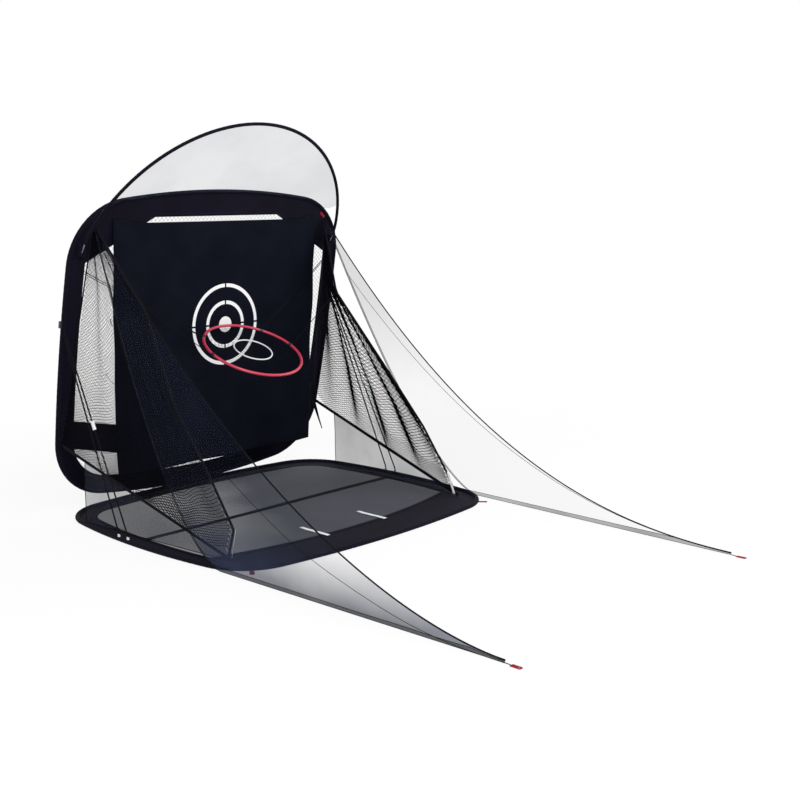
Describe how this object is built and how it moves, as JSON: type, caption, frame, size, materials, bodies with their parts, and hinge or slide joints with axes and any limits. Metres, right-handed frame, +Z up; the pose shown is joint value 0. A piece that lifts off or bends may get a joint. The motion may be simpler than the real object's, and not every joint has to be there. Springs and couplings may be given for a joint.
{
  "type": "golf chipping net",
  "caption": "Pop-up golf chipping net: leaning target frame over a floor frame, with a roof hoop, side wings and a hanging chipping ring.",
  "frame": {"origin": "on the floor, under the middle of the whole net with its wings spread", "axes": "+Z up, +Y from the wing tips towards the back of the net, +X to the golfer's right as they face the target"},
  "size_m": [2.534, 4.032, 2.6765],
  "materials": {
    "sprung_rod": "satin",
    "black_cloth": "matte",
    "grey_net": "matte",
    "fine_net": "matte",
    "red_webbing": "matte",
    "red_plastic": "gloss",
    "white_plastic": "satin",
    "black_plastic": "satin",
    "white_print": "matte",
    "black_webbing": "matte"
  },
  "bodies": {
    "ground": {"ground_rod": "sprung_rod", "ground_border": "black_cloth", "floor_net": "grey_net", "floor_strap": "black_webbing", "front_strap_left": "white_print", "front_strap_right": "white_print", "corner_tabs": "red_webbing", "hinge_loops": "black_webbing", "cord_anchors": "white_plastic", "side_net_left": "grey_net", "side_net_right": "grey_net", "side_strap_left": "black_webbing", "side_strap_right": "black_webbing", "lower_panel_left": "fine_net", "lower_panel_right": "fine_net", "wing_net_left": "fine_net", "wing_net_right": "fine_net", "wing_edge_left": "black_webbing", "wing_edge_right": "black_webbing", "wing_hem_left": "black_cloth", "wing_hem_right": "black_cloth", "wing_end_cord_left": "black_webbing", "wing_end_cord_right": "black_webbing", "peg_tab_left": "red_webbing", "peg_tab_right": "red_webbing"},
    "upright": {"upright_rod": "sprung_rod", "upright_border": "black_cloth", "back_net": "grey_net", "upright_tab": "red_webbing", "roof_pocket_left": "black_webbing", "roof_pocket_right": "black_webbing", "cord_cleat_left": "black_webbing", "cord_cleat_right": "black_webbing", "side_band_left": "black_cloth", "side_band_right": "black_cloth", "sheet_ties": "black_webbing", "roof_net": "fine_net"},
    "target": {"target_sheet": "black_cloth", "target_print": "white_print"},
    "roof": {"roof_rod": "sprung_rod", "roof_sleeve": "black_cloth", "roof_end_caps": "black_plastic"},
    "ring": {"ring_rim": "red_plastic", "ring_inner": "white_plastic", "ring_net": "grey_net", "ring_clips": "black_plastic", "ring_cords_left": "black_webbing", "ring_cords_right": "black_webbing", "ring_cords_rear": "black_webbing"},
    "left_cords": {"support_cords_left": "black_webbing"},
    "right_cords": {"support_cords_right": "black_webbing"},
    "left_adjuster": {"cord_adjuster_left": "white_plastic"},
    "right_adjuster": {"cord_adjuster_right": "white_plastic"}
  },
  "joints": [
    {"name": "upright_fold", "type": "hinge", "parent": "ground", "child": "upright", "pos_m": [0, 1.981, 0.04323], "axis": [1, 0, 0], "range_deg": [0, 72], "deforming": ["side_net_left", "side_net_right", "side_strap_left", "side_strap_right", "lower_panel_left", "lower_panel_right", "wing_net_left", "wing_net_right", "wing_edge_left", "wing_edge_right", "wing_hem_left", "wing_hem_right", "side_band_left", "side_band_right", "sheet_ties"]},
    {"name": "sheet_swing", "type": "hinge", "parent": "upright", "child": "target", "pos_m": [0, 1.57261, 2.03379], "axis": [1, 0, 0], "range_deg": [0, 7.16]},
    {"name": "roof_tilt", "type": "hinge", "parent": "upright", "child": "roof", "pos_m": [0, 1.6033, 1.82168], "axis": [1, 0, 0], "range_deg": [-18, 0], "deforming": ["roof_net"]},
    {"name": "ring_swing", "type": "hinge", "parent": "upright", "child": "ring", "pos_m": [0, 1.6916, 1.31107], "axis": [1, 0, 0], "range_deg": [-100.8, 0], "deforming": ["ring_cords_left", "ring_cords_right", "ring_cords_rear"]},
    {"name": "left_cords_fold", "type": "hinge", "parent": "ground", "child": "left_cords", "pos_m": [-1.252, 1.021, 0.0511], "axis": [1, 0, 0], "range_deg": [0, 115.2]},
    {"name": "right_cords_fold", "type": "hinge", "parent": "ground", "child": "right_cords", "pos_m": [1.252, 1.021, 0.0511], "axis": [1, 0, 0], "range_deg": [0, 115.2]},
    {"name": "left_adjuster_slide", "type": "slide", "parent": "left_cords", "child": "left_adjuster", "axis": [-0.0107, -0.4596, -0.8881], "range_m": [-0.15, 0.15]},
    {"name": "right_adjuster_slide", "type": "slide", "parent": "right_cords", "child": "right_adjuster", "axis": [0.0107, -0.4596, -0.8881], "range_m": [-0.15, 0.15]}
  ],
  "couplings": [
    {"joint": "sheet_swing", "follows": "upright_fold", "ratio": 0.0995},
    {"joint": "roof_tilt", "follows": "upright_fold", "ratio": -0.25},
    {"joint": "ring_swing", "follows": "upright_fold", "ratio": -1.4},
    {"joint": "left_cords_fold", "follows": "upright_fold", "ratio": 1.6},
    {"joint": "right_cords_fold", "follows": "upright_fold", "ratio": 1.6}
  ]
}
